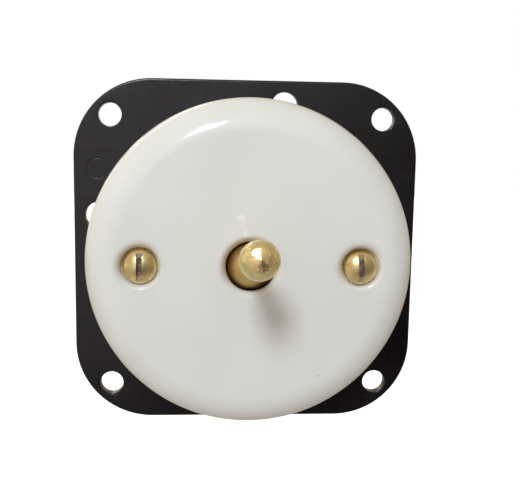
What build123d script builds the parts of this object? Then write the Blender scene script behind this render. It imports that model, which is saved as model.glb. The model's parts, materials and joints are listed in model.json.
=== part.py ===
from build123d import *
import os
from math import acos, cos, radians, sin, tan

# A round porcelain toggle switch on a square base plate, in millimetres.
# The plate's back lies in the plane Y = 0 and the switch stands out towards -Y.
# +X is to the right and +Z is up. A "level" is a distance out from the wall,
# so a sketch at a level lies on Plane.XZ.offset(level).

# Base plate
plate_size = 80.0
plate_thickness = 2.5
plate_corner_radius = 18.0
plate_edge_radius = 0.5
fixing_spacing = 63.3
fixing_hole_radius = 2.7
rim_hole_radius = 3.0
rim_hole_place = (8.5, 34.5)
cable_hole_radius = 4.5
cable_hole_spacing = (33.0, 22.0)

# Cover
cover_radius = 35.1
cover_height = 22.0
cover_wall = 3.5
cover_face_thickness = 3.0
cover_shoulder_radius = 7.0
cover_lip_radius = 1.4
dimple_depth = 1.5
dimple_lip_radius = 1.1
dimple_gap = 0.2
boss_wall = 1.5
boss_depth = 2.5
min_inner_shoulder = 1.0
overlap = 0.5

# Cover screws and the posts that they enter
cover_screw_spacing = 46.0
screw_radius = 2.0
screw_head_radius = 3.75
screw_head_dome = 2.6
dome_pull = 0.55
screw_slot_width = 1.3
screw_slot_depth = 1.2
screw_slot_lean = 3.5
cover_screw_length = 9.5
post_radius = 4.0
post_screw_reach = 4.5
post_chamfer = 0.5
screw_clearance = 0.25
thread_clearance = 0.05
seat_clearance = 0.3
small_gap = 0.1

# Porcelain mechanism base
base_edge = 1.5
base_thickness = 5.5
base_fillet = 1.0
well_clearance = 0.4
well_half_length = 15.2
well_floor = 1.7
well_corner_radius = 0.5
rib_half_width = 1.4
rib_inset = 8.2

# Bridge that carries the toggle and the rocker
sheet = 0.9
cheek_clearance = 1.3
cheek_seat = 0.1
cheek_half_depth = 3.5
bridge_gap_to_cover = 0.25
bridge_screw_place = 15.0
bridge_screw_radius = 1.5
bridge_screw_end = 0.4
bridge_head_radius = 2.6
bridge_head_height = 1.8
bridge_corner_radius = 2.5
bridge_foot_end = 3.0
nut_across_flats = 5.5
nut_thickness = 2.2

# Toggle
toggle_pivot_below_face = 5.0
toggle_tilt = 10.0
ball_radius = 5.45
ball_clearance = 0.23
neck_radius = 2.0
knob_radius = 3.65
knob_reach = 29.9
knob_cone_share = 0.62
knob_cone_rise = 0.6
knob_flare = 12.0
tail_radius = 2.5
tail_short_of_nose = 0.55
spring_bore_radius = 1.6
pivot_pin_radius = 0.75
running_clearance = 0.05
pin_end = 0.4
pin_chamfer = 0.2

# Plunger and its spring
plunger_gap = 0.25
plunger_radius = 1.5
spring_wire_radius = 0.18
spring_turns = 4
spring_above_pin = 0.8
spring_length = 2.2

# Rocker and knife blade
rocker_above_base = 1.8
rocker_tilt = 14.0
rocker_half_width = 3.5
rocker_half_length = 7.6
rocker_under = 1.6
rocker_saddle = 1.6
saddle_slope = 12.0
saddle_half_length = 4.5
rocker_shoulder = 1.2
axle_radius = 0.7
blade_thickness = 1.2
blade_half_length = 12.5
blade_over = 0.8
blade_end_bevel = 0.8
blade_link_half_length = 2.5
blade_link_thickness = 0.7
rivet_radius = 0.7
rivet_head_radius = 1.2
rivet_head = 0.4
rivet_place = (5.2, -0.3)

# Jaws and terminals
jaw_sheet = 0.7
jaw_clearance = 0.1
jaw_start = 8.8
jaw_length = 3.6
jaw_top_above_base = 0.4
pad_end = 23.0
pad_outer = 12.0
terminal_centre = (9.0, 19.1)
terminal_width = 6.0
terminal_length = 7.0
terminal_height = 8.3
terminal_corner_radius = 0.6
wire_radius = 1.4
wire_above_pad = 4.3
clamp_screw_radius = 1.5
clamp_head_radius = 2.2
clamp_head_height = 1.6
wire_gap = 0.3
fixing_screw_radius = 1.25
fixing_screw_head_radius = 2.2
fixing_screw_head_height = 0.7
fixing_screw_reach = 2.4
link_thickness = 0.7
link_width = 4.0
slot_width = 0.8

# Levels and radii that follow from the sizes above
base_top = plate_thickness + base_thickness
well_level = plate_thickness + well_floor
face_level = plate_thickness + cover_height
cover_ceiling = face_level - cover_face_thickness
pivot_level = face_level - toggle_pivot_below_face
bridge_top = cover_ceiling - bridge_gap_to_cover
pad_top = base_top + jaw_sheet
terminal_top = pad_top + terminal_height
wire_level = pad_top + wire_above_pad
seat_level = face_level - dimple_depth
boss_radius = post_radius + boss_wall
boss_level = cover_ceiling - boss_depth
post_top = boss_level - seat_clearance
screw_x = cover_screw_spacing / 2
dimple_radius = screw_head_radius + dimple_gap
# The ball is wider than the hole, which it fills at the level of the cover's ceiling.
ball_under_ceiling = toggle_pivot_below_face - cover_face_thickness
cover_hole_radius = (ball_radius**2 - ball_under_ceiling**2) ** 0.5 + ball_clearance
blade_inner = rocker_half_width
blade_outer = blade_inner + blade_thickness
jaw_inner = blade_inner - jaw_clearance - jaw_sheet
jaw_outer = blade_outer + jaw_clearance + jaw_sheet
jaw_top = base_top + jaw_top_above_base
link_level = plate_thickness + fixing_screw_head_height + small_gap
terminal_x, terminal_z = terminal_centre
well_half_width = jaw_outer + well_clearance
cheek_inner = max(ball_radius + cheek_clearance, well_half_width + cheek_seat)
cheek_outer = cheek_inner + sheet
base_radius = screw_x + post_radius + base_edge
rocker_level = base_top + rocker_above_base
saddle_level = rocker_level + rocker_saddle
plunger_reach = pivot_level - saddle_level - plunger_gap - plunger_radius
tail_reach = plunger_reach - tail_short_of_nose
spring_start = pivot_pin_radius + spring_above_pin

# The toggle's own frame: local X is the row's X, local Y runs out along the lever.
lever_out = (0, -cos(radians(toggle_tilt)), sin(radians(toggle_tilt)))
toggle_plane = Plane(
    origin=(0, -pivot_level, 0),
    x_dir=(1, 0, 0),
    z_dir=(0, -lever_out[2], lever_out[1]),
)
toggle_axis = Axis((0, -pivot_level, 0), lever_out)

# The rocker's own frame: local X runs up the see-saw, local Y out of the wall.
rocker_plane = Plane(
    origin=(0, -rocker_level, 0),
    x_dir=(0, -sin(radians(rocker_tilt)), cos(radians(rocker_tilt))),
    z_dir=(1, 0, 0),
)

os.makedirs("parts", exist_ok=True)


def save(part, name):
    """Label one finished piece and write it as a STEP file of the same name."""
    part.label = name
    export_step(part, f"parts/{name}.step")


def level(height):
    """The sketch plane at a distance out from the wall."""
    return Plane.XZ.offset(height)


# Base plate: rounded square with corner fixings, rim holes and cable holes
with BuildPart() as base_plate:
    with BuildSketch(level(0)):
        RectangleRounded(plate_size, plate_size, plate_corner_radius)
        with GridLocations(fixing_spacing, fixing_spacing, 2, 2):
            Circle(fixing_hole_radius, mode=Mode.SUBTRACT)
        with GridLocations(*cable_hole_spacing, 2, 2):
            Circle(cable_hole_radius, mode=Mode.SUBTRACT)
        for turn in range(4):
            with Locations(Location((0, 0, 0), (0, 0, 90 * turn))):
                with Locations(rim_hole_place):
                    Circle(rim_hole_radius, mode=Mode.SUBTRACT)
        with Locations((-screw_x, 0), (screw_x, 0)):
            Circle(screw_radius + screw_clearance, mode=Mode.SUBTRACT)
    extrude(amount=plate_thickness)
    front_edges = base_plate.faces().sort_by(Axis.Y)[0].outer_wire().edges()
    fillet(front_edges, plate_edge_radius)
    with BuildSketch(level(0)):
        with Locations((-screw_x, 0), (screw_x, 0)):
            Circle(screw_head_radius + screw_clearance)
    extrude(amount=screw_head_radius - screw_radius, taper=45, mode=Mode.SUBTRACT)
save(base_plate.part, "base_plate")

# Porcelain base: a disc with one well, two barrier ribs and pockets behind
with BuildPart() as mechanism_base:
    with BuildSketch(level(plate_thickness)):
        Circle(base_radius)
        with GridLocations(*cable_hole_spacing, 2, 2):
            Circle(cable_hole_radius, mode=Mode.SUBTRACT)
        with Locations((-screw_x, 0), (screw_x, 0)):
            Circle(screw_radius + screw_clearance, mode=Mode.SUBTRACT)
        with GridLocations(2 * bridge_screw_place, 0, 2, 1):
            Circle(bridge_screw_radius + screw_clearance, mode=Mode.SUBTRACT)
        with GridLocations(2 * terminal_x, 2 * terminal_z, 2, 2):
            Circle(fixing_screw_radius + screw_clearance, mode=Mode.SUBTRACT)
    extrude(amount=base_thickness)
    top_edges = mechanism_base.faces().sort_by(Axis.Y)[0].outer_wire().edges()
    fillet(top_edges, base_fillet)
    with BuildSketch(level(base_top)):
        RectangleRounded(2 * well_half_width, 2 * well_half_length, well_corner_radius)
    extrude(amount=-(base_top - well_level), mode=Mode.SUBTRACT)
    with BuildSketch(level(well_level)):
        rib_length = well_half_length - rib_inset + overlap
        for side in (-1, 1):
            with Locations((0, side * (rib_inset + rib_length / 2))):
                Rectangle(2 * rib_half_width, rib_length)
    extrude(amount=base_top - well_level)
    with BuildSketch(level(plate_thickness)):
        with GridLocations(2 * bridge_screw_place, 0, 2, 1):
            RegularPolygon(nut_across_flats / 2 + screw_clearance, 6, major_radius=False)
    extrude(amount=nut_thickness + small_gap, mode=Mode.SUBTRACT)
    with BuildSketch(level(plate_thickness)):
        with GridLocations(2 * terminal_x, 2 * terminal_z, 2, 2):
            Circle(fixing_screw_head_radius + screw_clearance)
    extrude(amount=link_level - plate_thickness, mode=Mode.SUBTRACT)
    with BuildSketch(level(plate_thickness)):
        with Locations((-terminal_x, 0)):
            Rectangle(
                link_width + 2 * screw_clearance, 2 * (terminal_z + screw_clearance) + link_width
            )
    extrude(amount=link_level + link_thickness - plate_thickness, mode=Mode.SUBTRACT)
save(mechanism_base.part, "mechanism_base")

# Cover: a drum with a rounded shoulder, a lipped centre hole and two dimples
with BuildPart() as cover:
    with BuildSketch(Plane.XY):
        with BuildLine():
            shoulder = cover_shoulder_radius
            lip = cover_lip_radius
            inner_radius = cover_radius - cover_wall
            inner_shoulder = max(shoulder - cover_wall, min_inner_shoulder)
            rim = (inner_radius, -plate_thickness)
            Polyline(
                (inner_radius, -(cover_ceiling - inner_shoulder)),
                rim,
                (cover_radius, -plate_thickness),
                (cover_radius, -(face_level - shoulder)),
            )
            RadiusArc(
                (cover_radius, -(face_level - shoulder)),
                (cover_radius - shoulder, -face_level),
                shoulder,
            )
            Line((cover_radius - shoulder, -face_level), (cover_hole_radius + lip, -face_level))
            RadiusArc(
                (cover_hole_radius + lip, -face_level),
                (cover_hole_radius, -(face_level - lip)),
                lip,
            )
            Polyline(
                (cover_hole_radius, -(face_level - lip)),
                (cover_hole_radius, -cover_ceiling),
                (inner_radius - inner_shoulder, -cover_ceiling),
            )
            RadiusArc(
                (inner_radius - inner_shoulder, -cover_ceiling),
                (inner_radius, -(cover_ceiling - inner_shoulder)),
                -inner_shoulder,
            )
        make_face()
    revolve(axis=Axis.Y)
    with BuildSketch(level(boss_level)):
        with Locations((-screw_x, 0), (screw_x, 0)):
            Circle(boss_radius)
    extrude(amount=cover_ceiling - boss_level + overlap)
    with BuildSketch(level(face_level)):
        with Locations((-screw_x, 0), (screw_x, 0)):
            Circle(dimple_radius)
    extrude(amount=-dimple_depth, mode=Mode.SUBTRACT)
    dimple_mouths = cover.edges().filter_by(GeomType.CIRCLE).filter_by(
        lambda edge: abs(edge.radius - dimple_radius) < 0.01
        and abs(edge.center().Y + face_level) < 0.01
    )
    fillet(dimple_mouths, dimple_lip_radius)
    with BuildSketch(level(face_level)):
        with Locations((-screw_x, 0), (screw_x, 0)):
            Circle(screw_radius + screw_clearance)
    extrude(amount=-(face_level - boss_level), mode=Mode.SUBTRACT)
save(cover.part, "cover")

# Cover screws: a domed head with a driver slot on a plain shank
for side, name in ((-1, "cover_screw_left"), (1, "cover_screw_right")):
    slot_turn = 0 if side < 0 else screw_slot_lean
    with BuildPart() as cover_screw:
        with BuildSketch(Plane.XY):
            with BuildLine():
                Polyline(
                    (0, -(seat_level + screw_head_dome)),
                    (0, -(seat_level - cover_screw_length)),
                    (screw_radius, -(seat_level - cover_screw_length)),
                    (screw_radius, -seat_level),
                    (screw_head_radius, -seat_level),
                )
                Bezier(
                    (screw_head_radius, -seat_level),
                    (screw_head_radius, -(seat_level + dome_pull * screw_head_dome)),
                    (dome_pull * screw_head_radius, -(seat_level + screw_head_dome)),
                    (0, -(seat_level + screw_head_dome)),
                )
            make_face()
        revolve(axis=Axis.Y)
        with BuildSketch(level(seat_level + screw_head_dome)):
            Rectangle(screw_slot_width, 3 * screw_head_radius, rotation=slot_turn)
        extrude(amount=-screw_slot_depth, mode=Mode.SUBTRACT)
    save(cover_screw.part.moved(Location((side * screw_x, 0, 0))), name)

# Cover posts: threaded brass pillars on the porcelain base
for side, name in ((-1, "cover_post_left"), (1, "cover_post_right")):
    with BuildPart() as cover_post:
        with BuildSketch(level(base_top)):
            with Locations((side * screw_x, 0)):
                Circle(post_radius)
                Circle(screw_radius + thread_clearance, mode=Mode.SUBTRACT)
        extrude(amount=post_top - base_top)
        chamfer(cover_post.faces().sort_by(Axis.Y)[0].outer_wire().edges(), post_chamfer)
    save(cover_post.part, name)

# Post screws: countersunk from behind, through plate and porcelain into the posts
with BuildPart() as post_screws:
    with Locations((-screw_x, 0, 0), (screw_x, 0, 0)):
        with BuildSketch(Plane.XY, mode=Mode.PRIVATE) as post_screw_profile:
            Polygon(
                (0, -small_gap),
                (screw_head_radius - small_gap, -small_gap),
                (screw_radius, -(screw_head_radius - screw_radius)),
                (screw_radius, -(base_top + post_screw_reach)),
                (0, -(base_top + post_screw_reach)),
                align=None,
            )
        add(revolve(post_screw_profile.sketch, axis=Axis.Y, mode=Mode.PRIVATE))
    with BuildSketch(level(0)):
        with Locations((-screw_x, 0), (screw_x, 0)):
            Rectangle(slot_width, 3 * screw_head_radius)
    extrude(amount=slot_width + small_gap, mode=Mode.SUBTRACT)
save(post_screws.part, "post_screws")

# Bridge: one folded sheet, a top with a ring for the ball, two cheeks, two feet
with BuildPart() as bridge:
    with BuildSketch(Plane.XY.offset(-cheek_half_depth)):
        foot_end = bridge_screw_place + bridge_foot_end
        with BuildLine():
            Polyline(
                (foot_end, -base_top),
                (cheek_inner, -base_top),
                (cheek_inner, -(bridge_top - sheet)),
                (-cheek_inner, -(bridge_top - sheet)),
                (-cheek_inner, -base_top),
                (-foot_end, -base_top),
                (-foot_end, -(base_top + sheet)),
                (-cheek_outer, -(base_top + sheet)),
                (-cheek_outer, -bridge_top),
                (cheek_outer, -bridge_top),
                (cheek_outer, -(base_top + sheet)),
                (foot_end, -(base_top + sheet)),
                close=True,
            )
        make_face()
    extrude(amount=2 * cheek_half_depth)
    with BuildSketch(level(bridge_top - sheet)):
        RectangleRounded(2 * cheek_outer, 2 * cheek_outer, bridge_corner_radius)
    extrude(amount=sheet)
    with BuildSketch(level(bridge_top - 2 * sheet)):
        Circle(ball_radius + seat_clearance)
    extrude(amount=2 * sheet, mode=Mode.SUBTRACT)
    with BuildSketch(level(base_top)):
        with GridLocations(2 * bridge_screw_place, 0, 2, 1):
            Circle(bridge_screw_radius + screw_clearance)
    extrude(amount=sheet, mode=Mode.SUBTRACT)
    with BuildSketch(Plane.YZ.offset(-cheek_outer - 1)):
        with Locations((-pivot_level, 0)):
            Circle(pivot_pin_radius)
        with Locations((-rocker_level, 0)):
            Circle(axle_radius)
    extrude(amount=2 * (cheek_outer + 1), mode=Mode.SUBTRACT)
save(bridge.part, "bridge")

# Bridge screws with slotted cheese heads, and their nuts behind the porcelain
with BuildPart() as bridge_screws:
    with BuildSketch(level(plate_thickness + bridge_screw_end)):
        with GridLocations(2 * bridge_screw_place, 0, 2, 1):
            Circle(bridge_screw_radius)
    extrude(amount=base_top + sheet - plate_thickness - bridge_screw_end)
    with BuildSketch(level(base_top + sheet)):
        with GridLocations(2 * bridge_screw_place, 0, 2, 1):
            Circle(bridge_head_radius)
    extrude(amount=bridge_head_height)
    with BuildSketch(level(base_top + sheet + bridge_head_height)):
        with GridLocations(2 * bridge_screw_place, 0, 2, 1):
            Rectangle(slot_width, 3 * bridge_head_radius)
    extrude(amount=-slot_width, mode=Mode.SUBTRACT)
save(bridge_screws.part, "bridge_screws")

with BuildPart() as bridge_nuts:
    with BuildSketch(level(plate_thickness + small_gap)):
        with GridLocations(2 * bridge_screw_place, 0, 2, 1):
            RegularPolygon(nut_across_flats / 2, 6, major_radius=False)
            Circle(bridge_screw_radius + thread_clearance, mode=Mode.SUBTRACT)
    extrude(amount=nut_thickness)
save(bridge_nuts.part, "bridge_nuts")

# Toggle: one turned lever, from the bored tail through the ball to the knob
with BuildPart() as toggle:
    with BuildSketch(toggle_plane):
        with BuildLine():
            neck_root = (neck_radius, (ball_radius**2 - neck_radius**2) ** 0.5)
            tail_root = (tail_radius, -((ball_radius**2 - tail_radius**2) ** 0.5))
            flare_start = (neck_radius * 0.9, knob_reach - knob_flare)
            widest = (knob_radius, knob_reach)
            cone_turn = acos(knob_cone_share)
            cone_rim = (knob_radius * cos(cone_turn), knob_reach + knob_radius * sin(cone_turn))
            half_way = (
                knob_radius * cos(cone_turn / 2),
                knob_reach + knob_radius * sin(cone_turn / 2),
            )
            ThreePointArc(tail_root, (ball_radius, 0), neck_root)
            Line(neck_root, flare_start)
            Spline(flare_start, widest, tangents=((0.0, 1.0), (0.0, 1.0)), tangent_scalars=(1.4, 1.0))
            ThreePointArc(widest, half_way, cone_rim)
            Polyline(
                cone_rim,
                (0, cone_rim[1] + knob_cone_rise),
                (0, -spring_start),
                (spring_bore_radius, -spring_start),
                (spring_bore_radius, -tail_reach),
                (tail_radius, -tail_reach),
                tail_root,
            )
        make_face()
    revolve(axis=toggle_axis)
    with BuildSketch(Plane.YZ.offset(-ball_radius - 1)):
        with Locations((-pivot_level, 0)):
            Circle(pivot_pin_radius + running_clearance)
    extrude(amount=2 * (ball_radius + 1), mode=Mode.SUBTRACT)
save(toggle.part, "toggle")

# Pins that the toggle and the rocker turn on, held in the bridge's cheeks
for radius, height, name in (
    (pivot_pin_radius, pivot_level, "pivot_pin"),
    (axle_radius, rocker_level, "rocker_axle"),
):
    with BuildPart() as pin:
        with BuildSketch(Plane.YZ.offset(-cheek_outer - pin_end)):
            with Locations((-height, 0)):
                Circle(radius)
        extrude(amount=2 * (cheek_outer + pin_end))
        chamfer(pin.edges().filter_by(GeomType.CIRCLE), pin_chamfer)
    save(pin.part, name)

# Plunger: a round nose on a short stem that slides in the toggle's tail
with BuildPart() as plunger:
    with BuildSketch(toggle_plane):
        stem_start = spring_start + spring_length
        with BuildLine():
            Line((0, -stem_start), (plunger_radius, -stem_start))
            Line((plunger_radius, -stem_start), (plunger_radius, -plunger_reach))
            ThreePointArc(
                (plunger_radius, -plunger_reach),
                (plunger_radius * cos(radians(45)), -plunger_reach - plunger_radius * sin(radians(45))),
                (0, -plunger_reach - plunger_radius),
            )
            Line((0, -plunger_reach - plunger_radius), (0, -stem_start))
        make_face()
    revolve(axis=toggle_axis)
save(plunger.part, "plunger")

# Plunger spring: a coil inside the toggle's tail
with BuildPart() as plunger_spring:
    coil_radius = plunger_radius - spring_wire_radius - small_gap
    rise = spring_length - 2 * spring_wire_radius - small_gap
    coil_foot = spring_start + spring_length - spring_wire_radius - small_gap / 2
    with BuildLine():
        coil = Helix(
            pitch=rise / spring_turns,
            height=rise,
            radius=coil_radius,
            center=toggle_axis.position - toggle_axis.direction * coil_foot,
            direction=lever_out,
        )
    with BuildSketch(Plane(coil @ 0, z_dir=coil % 0)):
        Circle(spring_wire_radius)
    sweep(is_frenet=True)
save(plunger_spring.part, "plunger_spring")

# Rocker: fibre see-saw, its V saddle under the plunger
with BuildPart() as rocker:
    with BuildSketch(rocker_plane.offset(-rocker_half_width)):
        ridge = rocker_saddle + saddle_half_length * tan(radians(saddle_slope))
        Polygon(
            (-rocker_half_length, -rocker_under),
            (rocker_half_length, -rocker_under),
            (rocker_half_length, rocker_shoulder),
            (saddle_half_length, ridge),
            (0, rocker_saddle),
            (-saddle_half_length, ridge),
            (-rocker_half_length, rocker_shoulder),
            align=None,
        )
        Circle(axle_radius + running_clearance, mode=Mode.SUBTRACT)
        with Locations((-rivet_place[0], rivet_place[1]), rivet_place):
            Circle(rivet_radius, mode=Mode.SUBTRACT)
    extrude(amount=2 * rocker_half_width)
save(rocker.part, "rocker")

# Knife blade: two edge-on strips joined by a link under the rocker
with BuildPart() as knife_blade:
    for side in (-1, 1):
        low_x = blade_inner if side > 0 else -blade_outer
        with BuildSketch(rocker_plane.offset(low_x)):
            Polygon(
                (-blade_half_length, -rocker_under + blade_end_bevel),
                (-blade_half_length + blade_end_bevel, -rocker_under),
                (-blade_link_half_length, -rocker_under),
                (-blade_link_half_length, -rocker_under - blade_link_thickness),
                (blade_link_half_length, -rocker_under - blade_link_thickness),
                (blade_link_half_length, -rocker_under),
                (blade_half_length - blade_end_bevel, -rocker_under),
                (blade_half_length, -rocker_under + blade_end_bevel),
                (blade_half_length, blade_over),
                (-blade_half_length, blade_over),
                align=None,
            )
            Circle(axle_radius + running_clearance, mode=Mode.SUBTRACT)
            with Locations((-rivet_place[0], rivet_place[1]), rivet_place):
                Circle(rivet_radius, mode=Mode.SUBTRACT)
        extrude(amount=blade_thickness)
    with BuildSketch(rocker_plane.offset(-blade_outer)):
        with Locations((0, -rocker_under - blade_link_thickness / 2)):
            Rectangle(2 * blade_link_half_length, blade_link_thickness)
    extrude(amount=2 * blade_outer)
save(knife_blade.part, "knife_blade")

# Blade rivets: two pins with flat heads outside the blade
with BuildPart() as blade_rivets:
    places = ((-rivet_place[0], rivet_place[1]), rivet_place)
    with BuildSketch(rocker_plane.offset(-blade_outer)):
        with Locations(*places):
            Circle(rivet_radius)
    extrude(amount=2 * blade_outer)
    with BuildSketch(rocker_plane.offset(blade_outer)):
        with Locations(*places):
            Circle(rivet_head_radius)
    extrude(amount=rivet_head)
    with BuildSketch(rocker_plane.offset(-blade_outer)):
        with Locations(*places):
            Circle(rivet_head_radius)
    extrude(amount=-rivet_head)
save(blade_rivets.part, "blade_rivets")

# Jaws, terminal blocks: one of each in every quarter of the porcelain base
for up, vertical in ((1, "upper"), (-1, "lower")):
    for side, horizontal in ((-1, "left"), (1, "right")):
        jaw_middle = side * (jaw_inner + jaw_outer) / 2
        jaw_width = jaw_outer - jaw_inner
        web_end = well_half_length - jaw_clearance
        with BuildPart() as jaw:
            with BuildSketch(level(well_level)):
                with Locations((jaw_middle, up * (jaw_start + web_end) / 2)):
                    Rectangle(jaw_width, web_end - jaw_start)
            extrude(amount=jaw_sheet)
            with BuildSketch(level(well_level)):
                for leaf in (jaw_inner + jaw_sheet / 2, jaw_outer - jaw_sheet / 2):
                    with Locations((side * leaf, up * (jaw_start + jaw_length / 2))):
                        Rectangle(jaw_sheet, jaw_length)
            extrude(amount=jaw_top - well_level)
            with BuildSketch(level(well_level)):
                with Locations((jaw_middle, up * (web_end - jaw_sheet / 2))):
                    Rectangle(jaw_width, jaw_sheet)
            extrude(amount=pad_top - well_level)
            with BuildSketch(level(base_top)):
                pad_start = web_end - jaw_sheet
                with Locations(
                    (side * (jaw_inner + pad_outer) / 2, up * (pad_start + pad_end) / 2)
                ):
                    Rectangle(pad_outer - jaw_inner, pad_end - pad_start)
                with Locations((side * terminal_x, up * terminal_z)):
                    Circle(fixing_screw_radius + screw_clearance, mode=Mode.SUBTRACT)
            extrude(amount=jaw_sheet)
        save(jaw.part, f"jaw_{vertical}_{horizontal}")

        with BuildPart() as terminal:
            with BuildSketch(level(pad_top)):
                with Locations((side * terminal_x, up * terminal_z)):
                    RectangleRounded(terminal_width, terminal_length, terminal_corner_radius)
            extrude(amount=terminal_height)
            with BuildSketch(level(pad_top)):
                with Locations((side * terminal_x, up * terminal_z)):
                    Circle(fixing_screw_radius + thread_clearance)
            extrude(amount=fixing_screw_reach + 2 * small_gap, mode=Mode.SUBTRACT)
            with BuildSketch(level(terminal_top)):
                with Locations((side * terminal_x, up * terminal_z)):
                    Circle(clamp_screw_radius + thread_clearance)
            extrude(amount=-(terminal_top - wire_level), mode=Mode.SUBTRACT)
            with BuildSketch(Plane.YZ.offset(side * terminal_x - terminal_width)):
                with Locations((-wire_level, up * terminal_z)):
                    Circle(wire_radius)
            extrude(amount=2 * terminal_width, mode=Mode.SUBTRACT)
        save(terminal.part, f"terminal_{vertical}_{horizontal}")

# Clamp screws for the wires, backed off so that the wire holes are open
with BuildPart() as terminal_screws:
    shank_foot = wire_level + wire_radius + wire_gap
    with BuildSketch(level(shank_foot)):
        with GridLocations(2 * terminal_x, 2 * terminal_z, 2, 2):
            Circle(clamp_screw_radius)
    extrude(amount=terminal_top + seat_clearance - shank_foot)
    with BuildSketch(level(terminal_top + seat_clearance)):
        with GridLocations(2 * terminal_x, 2 * terminal_z, 2, 2):
            Circle(clamp_head_radius)
    extrude(amount=clamp_head_height)
    with BuildSketch(level(terminal_top + seat_clearance + clamp_head_height)):
        with GridLocations(2 * terminal_x, 2 * terminal_z, 2, 2):
            Rectangle(slot_width, 3 * clamp_head_radius)
    extrude(amount=-slot_width, mode=Mode.SUBTRACT)
save(terminal_screws.part, "terminal_screws")

# Fixings of the terminal blocks, from behind the porcelain, and the common link
with BuildPart() as terminal_fixings:
    with BuildSketch(level(link_level)):
        with GridLocations(2 * terminal_x, 2 * terminal_z, 2, 2):
            Circle(fixing_screw_radius)
    extrude(amount=pad_top + fixing_screw_reach - link_level)
    with BuildSketch(level(link_level - fixing_screw_head_height)):
        with GridLocations(2 * terminal_x, 2 * terminal_z, 2, 2):
            Circle(fixing_screw_head_radius)
    extrude(amount=fixing_screw_head_height)
save(terminal_fixings.part, "terminal_fixings")

with BuildPart() as common_link:
    with BuildSketch(level(link_level)):
        with Locations((-terminal_x, 0)):
            SlotCenterToCenter(2 * terminal_z, link_width, rotation=90)
        with Locations((-terminal_x, terminal_z), (-terminal_x, -terminal_z)):
            Circle(fixing_screw_radius + screw_clearance, mode=Mode.SUBTRACT)
    extrude(amount=link_thickness)
save(common_link.part, "common_link")
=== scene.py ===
# %% [markdown]
# # A porcelain toggle switch with a brass lever
# This lesson finishes a small wall switch: a glazed porcelain drum on a black
# moulded plate, two domed brass screws and a turned brass toggle. The parts
# arrive as a fixed frame, in metres, with every part at its place. Blender adds
# what light and touch would notice: soft edges, glaze, patina, dirt and dust.

# %% Load the frame
import bpy
import bmesh
import json
from math import acos, asin, cos, degrees, pi, radians, sin, sqrt, tan, tau
from mathutils import Matrix, Vector


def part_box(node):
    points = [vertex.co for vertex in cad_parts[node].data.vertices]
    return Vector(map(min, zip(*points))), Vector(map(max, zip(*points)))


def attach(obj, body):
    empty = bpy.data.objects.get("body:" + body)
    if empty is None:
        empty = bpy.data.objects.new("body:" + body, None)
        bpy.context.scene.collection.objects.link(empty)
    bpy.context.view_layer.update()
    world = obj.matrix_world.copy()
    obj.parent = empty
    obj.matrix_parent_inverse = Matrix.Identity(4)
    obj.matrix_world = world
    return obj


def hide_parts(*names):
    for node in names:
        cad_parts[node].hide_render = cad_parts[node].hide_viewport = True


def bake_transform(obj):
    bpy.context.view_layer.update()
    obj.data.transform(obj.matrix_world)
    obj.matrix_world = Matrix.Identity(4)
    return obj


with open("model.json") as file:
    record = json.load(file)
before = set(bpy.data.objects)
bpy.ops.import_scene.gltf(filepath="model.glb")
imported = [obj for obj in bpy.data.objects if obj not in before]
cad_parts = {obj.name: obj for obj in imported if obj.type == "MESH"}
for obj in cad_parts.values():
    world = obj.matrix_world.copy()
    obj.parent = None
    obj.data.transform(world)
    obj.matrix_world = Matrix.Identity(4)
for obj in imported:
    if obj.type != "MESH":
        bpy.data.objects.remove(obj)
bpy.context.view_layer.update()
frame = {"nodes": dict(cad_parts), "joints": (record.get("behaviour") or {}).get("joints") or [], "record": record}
MM = 0.001
print("parts in the frame:", len(frame["nodes"]))

# %% [markdown]
# ## Measures
# The main places and sizes come from the frame. The wall is the plane y = 0 and
# the switch stands out towards -y, so a height over the wall is minus y. Reading
# the boxes once keeps the pieces in step with the parts that they stand for.
# Smaller measures are named beside the piece that they belong to.

# %% Read the measures
plate_low, plate_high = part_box("base_plate")
cover_low, cover_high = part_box("cover")
screw_low, screw_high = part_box("cover_screw_right")
plate_half = plate_high.x
plate_front = -plate_low.y
cover_radius = cover_high.x
face_height = -cover_low.y
screw_x = (screw_low.x + screw_high.x) / 2
screw_radius = (screw_high.x - screw_low.x) / 2
joints = {joint["name"]: joint for joint in frame["joints"]}
pivot = Vector(joints["toggle_throw"]["pos_m"])
lever_out = Vector(joints["plunger_slide"]["axis"]).normalized()
WALL_OUT = Vector((0, -1, 0))
print(f"plate {2000 * plate_half:.1f} mm, cover {2000 * cover_radius:.1f} mm across")
print(f"face {1000 * face_height:.1f} mm over the wall, screws {2000 * screw_x:.1f} mm apart")

# %% [markdown]
# ## Camera
# A close view from a hand's width away, a little above and to the left, gives
# the plate its slight taper and lets the toggle lean over its own hole. The
# lens is about that of a telephone's main camera. Depth of field stays off.

# %% Make the camera
scene = bpy.context.scene
camera_data = bpy.data.cameras.new("camera")
camera_data.lens = 51.56
camera_data.sensor_width = 36
camera_data.clip_start = 0.01
camera = bpy.data.objects.new("camera", camera_data)
camera.location = Vector((-9.0, -175.0, 24.6)) * MM
camera.rotation_euler = (radians(82.68), radians(-0.94), radians(-3.75))
scene.collection.objects.link(camera)
scene.camera = camera

# %% [markdown]
# ## Small tools for shader nodes
# Every material and the room's light are made of the same few steps: stretch a
# value, blend two colours, do a sum, sample a noise. Naming those steps keeps
# the finishes short enough to read as recipes.

# %% Helpers for shader nodes


def node(tree, kind, **settings):
    """Add a node and set its properties; a key that starts with in_ sets an input by name."""
    made = tree.nodes.new(kind)
    for key, value in settings.items():
        if key.startswith("in_"):
            made.inputs[key[3:].replace("_", " ")].default_value = value
        else:
            setattr(made, key, value)
    return made


def feed(tree, socket, value):
    """Link a socket to a socket, or set it to a plain value."""
    if isinstance(value, bpy.types.NodeSocket):
        tree.links.new(value, socket)
    else:
        socket.default_value = value


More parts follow.
